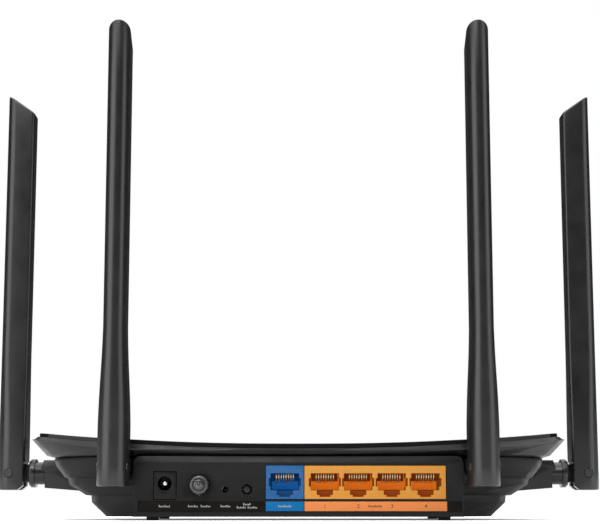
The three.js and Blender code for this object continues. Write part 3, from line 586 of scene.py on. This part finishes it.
# the middle of each socket's mouth along X, in mm
WAN_MOUTHS = (-5.7,)
LAN_MOUTHS = (11.0, 24.9, 38.9, 53.0)
contacts("internet_jack_contacts", WAN_MOUTHS, INSERT_BLUE_GLOW, COMB_BLUE_SHADE_GLOW)
contacts("lan_jack_contacts", LAN_MOUTHS, INSERT_ORANGE_GLOW, COMB_BROWN_SHADE_GLOW)


def axis_of(node):
    """A turned node's x, z, front and back, in mm."""
    low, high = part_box(node)
    return (low.x + high.x) / 2 / MM, (low.z + high.z) / 2 / MM, low.y / MM, high.y / MM


def inlet_pin():
    """The power inlet's centre pin, with a rounded tip."""
    x, z, front, back = axis_of("dc_jack_pin")
    profile = [(0.35, front), (0.7, front + 0.12), (0.92, front + 0.4), (1.0, front + 0.8),
               (1.0, back)]
    pin = turned("inlet_pin", profile, x, z, 40)
    soften(pin, 40)
    stand_for(pin, "dc_jack_pin")


def power_button():
    """A domed ring round a sunk disc, on a cap that stands out of the wall."""
    x, z, front, back = axis_of("power_button")
    cap_end = PORT_Y / MM + 3.3
    profile = [(0.01, front + 0.3), (1.6, front + 0.36), (2.1, front + 0.6), (2.2, front + 1.0),
               (2.45, front + 1.0), (2.5, front + 0.6), (2.7, front + 0.2), (3.0, front),
               (3.35, front + 0.08), (3.7, front + 0.4), (3.92, front + 0.9),
               (4.0, front + 1.5), (4.0, cap_end),
               (1.6, cap_end), (1.6, back), (0.01, back)]
    button = turned("power_push", profile, x, z)
    soften(button, 40)
    stand_for(button, "power_button", POWER_CAP)
    bm = bmesh.new()
    y = (front + 0.31) * MM
    thick = 0.08 * MM
    gap = 38  # degrees to each side of the top that the ring leaves open
    rings = []
    for i in range(25):
        angle = math.radians(90 + gap + (360 - 2 * gap) * i / 24)
        out = Vector((math.cos(angle), 0, math.sin(angle)))
        middle = Vector((x * MM, y, z * MM))
        near, far = middle + out * 0.85 * MM, middle + out * 1.1 * MM
        up = Vector((0, -thick, 0))
        rings.append([near, far, far + up, near + up])
    ring_skin(bm, rings)
    brick(bm, Vector(((x - 0.13) * MM, y - thick, (z + 0.25) * MM)),
          Vector(((x + 0.13) * MM, y, (z + 1.25) * MM)))
    symbol = new_object("power_symbol", bm)
    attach(symbol, "power_button")
    dress(symbol, POWER_MARK)


def pairing_button():
    """A small cap with a glossy rim round its flat middle."""
    x, z, front, back = axis_of("pairing_button")
    cap_end = PORT_Y / MM + 3.5
    profile = [(0.01, front + 0.04), (1.1, front), (1.25, front + 0.05), (1.35, front + 0.3),
               (1.6, front + 0.5), (1.85, front + 0.8), (1.9, front + 1.2), (1.9, cap_end),
               (1.0, cap_end), (1.0, back), (0.01, back)]
    button = turned("pairing_push", profile, x, z, 48)
    soften(button, 40)
    button.data.materials.append(MATERIALS["button_plastic"])
    button.data.materials.append(BUTTON_GLOSS)
    for face in button.data.polygons:
        centre = face.center
        face.material_index = int(math.dist((centre.x, centre.z), (x * MM, z * MM)) > 1.22 * MM)
    stand_for(button, "pairing_button")


inlet_pin()
power_button()
pairing_button()
refined("reset_plunger", 0.12, look=BUTTON_GLOSS)
for small in ("reset_switch", "pairing_switch", "power_switch"):
    refined(small, 0.12)


# ---------- labels ----------
LABEL_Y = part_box("label_lan")[0].y
MARK_THICK = 0.03 * MM
DASH_HEIGHTS = (1.0, 0.62, 0.7, 0.62, 0.95, 0.66, 0.6, 0.9, 0.64)
DASH_PITCH = 0.62


def bar_marks(name, rows, look):
    """Short rounded bars where a label's words would be; each is (x, z, width, height) in mm."""
    bm = bmesh.new()
    for x, z, width, height in rows:
        radius = min(width, height) / 2 - 0.001
        outline = []
        for side in (1, -1):
            for i in range(7):
                angle = -math.pi / 2 + math.pi * i / 6 + (0 if side > 0 else math.pi)
                across, up = math.cos(angle), math.sin(angle)
                outline.append((x + side * (width / 2 - radius) + radius * across,
                                z + math.copysign(height / 2 - radius, up) + radius * up))
        rings = [[(px * MM, LABEL_Y + y, pz * MM) for px, pz in outline] for y in (0, -MARK_THICK)]
        ring_skin(bm, rings)
    marks = new_object(name, bm)
    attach(marks, "router_body")
    dress(marks, look)


def word_marks(x, z, width):
    """One word's worth of upright dashes of uneven height, in mm."""
    count = round(width / DASH_PITCH)
    pitch = width / count
    return [(x + (i - (count - 1) / 2) * pitch, z + (DASH_HEIGHTS[i] - 0.8) / 2, pitch * 0.66,
             DASH_HEIGHTS[i]) for i in range(count)]


def digit(number, x, z, height):
    """A port's number, drawn on the label under it."""
    name = f"port_number_{number}"
    curve = bpy.data.curves.new(name, "FONT")
    curve.body = str(number)
    curve.size = height * MM
    curve.align_x = "CENTER"
    curve.align_y = "CENTER"
    curve.extrude = MARK_THICK / 2
    text = bpy.data.objects.new(name, curve)
    bpy.context.scene.collection.objects.link(text)
    place = Matrix.Translation((x * MM, LABEL_Y - MARK_THICK / 2, z * MM))
    text.matrix_world = place @ Matrix.Rotation(math.pi / 2, 4, "X")
    bpy.context.view_layer.update()
    graph = bpy.context.evaluated_depsgraph_get()
    mesh = bpy.data.meshes.new_from_object(text.evaluated_get(graph))
    mesh.transform(text.matrix_world)
    bpy.data.objects.remove(text)
    made = bpy.data.objects.new(name, mesh)
    bpy.context.scene.collection.objects.link(made)
    made.data.materials.clear()
    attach(made, "router_body")
    dress(made, MARK_DARK)


for label in ("label_controls", "label_internet", "label_lan", "label_end"):
    refined(label, 0.04)
label_z = (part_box("label_lan")[0].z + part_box("label_lan")[1].z) / 2 / MM
bar_marks("label_marks_light", [
    *word_marks(-55.8, label_z, 4.8), *word_marks(-43.9, label_z, 4.3),
    *word_marks(-38.7, label_z, 4.2), *word_marks(-30.4, label_z, 4.2),
    *word_marks(-21.5, label_z + 0.8, 3.2), *word_marks(-23.8, label_z - 0.5, 3.9),
    *word_marks(-19.2, label_z - 0.5, 4.1), *word_marks(-5.7, label_z, 5.6)], MARK_LIGHT)
bar_marks("label_marks_dark", word_marks(31.9, label_z, 5.8), MARK_DARK)
for port, port_x in enumerate(LAN_MOUTHS, 1):
    digit(port, port_x, label_z, 2.3)

# ---------- inside ----------
for inner_node in ("main_board", "processor", "network_transformer", "heat_sink",
                   "shield_can_left", "shield_can_right", "board_screw_left",
                   "board_screw_right"):
    refined(inner_node, 0.15)
for antenna_place in PLACES:
    for inner_node in (f"antenna_radiator_{antenna_place}", f"antenna_lead_{antenna_place}"):
        NODES[inner_node].data.materials.clear()
        NODES[inner_node].data.materials.append(MATERIALS[SLOT_OF[inner_node]])


# ---------- stage ----------
def floor():
    """A pale floor, 24 m across."""
    bm = bmesh.new()
    bmesh.ops.create_grid(bm, x_segments=8, y_segments=8, size=12)
    made = new_object("studio_floor", bm)
    made.data.materials.append(FLOOR_WHITE)


def softbox(name, place, aim, width, height, power):
    """A rectangular area light; sizes in metres, power in watts."""
    data = bpy.data.lights.new(name, "AREA")
    data.shape = "RECTANGLE"
    data.size = width
    data.size_y = height
    data.energy = power
    lamp = bpy.data.objects.new(name, data)
    bpy.context.scene.collection.objects.link(lamp)
    lamp.location = place
    lamp.rotation_euler = (Vector(aim) - Vector(place)).to_track_quat("-Z", "Y").to_euler()


def world(seen, around, overhead):
    """White behind the object; what lights it is dim all round and bright overhead."""
    made = bpy.data.worlds.new("studio")
    made.use_nodes = True
    tree = made.node_tree
    nodes, links = tree.nodes, tree.links
    background = nodes["Background"]
    background.inputs["Color"].default_value = (1, 1, 1, 1)
    coords = nodes.new("ShaderNodeTexCoord")
    split = nodes.new("ShaderNodeSeparateXYZ")
    links.new(coords.outputs["Generated"], split.inputs["Vector"])
    height = nodes.new("ShaderNodeMapRange")
    height.interpolation_type = "SMOOTHSTEP"
    height.inputs["From Min"].default_value = 0.5
    height.inputs["From Max"].default_value = 0.8
    height.inputs["To Min"].default_value = around
    height.inputs["To Max"].default_value = overhead
    links.new(split.outputs["Z"], height.inputs["Value"])
    path = nodes.new("ShaderNodeLightPath")
    strength = nodes.new("ShaderNodeMix")
    links.new(path.outputs["Is Camera Ray"], strength.inputs["Factor"])
    links.new(height.outputs["Result"], strength.inputs["A"])
    strength.inputs["B"].default_value = seen
    links.new(strength.outputs["Result"], background.inputs["Strength"])
    bpy.context.scene.world = made


def camera():
    """Level with the label strips, looking a little up, with the frame slid up too."""
    data = bpy.data.cameras.new("camera")
    data.sensor_width = 36
    data.lens = 77.0
    data.shift_x = 0.0025
    data.shift_y = 0.135
    data.clip_start = 0.01
    made = bpy.data.objects.new("camera", data)
    bpy.context.scene.collection.objects.link(made)
    distance, height, tilt = 0.538, 4.6 * MM, math.radians(7.39)
    made.location = (0, PORT_Y - distance, height)
    made.rotation_euler = (math.pi / 2 + tilt, 0, 0)
    bpy.context.scene.camera = made


floor()
softbox("key", (-0.25, -0.8, 0.95), (0, 0, 0.02), 0.5, 0.35, 6)
softbox("strip_left", (-0.85, -0.72, 0.36), (0, 0, 0.12), 0.9, 0.85, 8.5)
softbox("strip_right", (1.0, -0.52, 0.36), (0, 0, 0.12), 0.7, 0.85, 4.5)
world(1.0, 0.05, 3.0)
camera()
bpy.context.scene.view_settings.view_transform = "Standard"
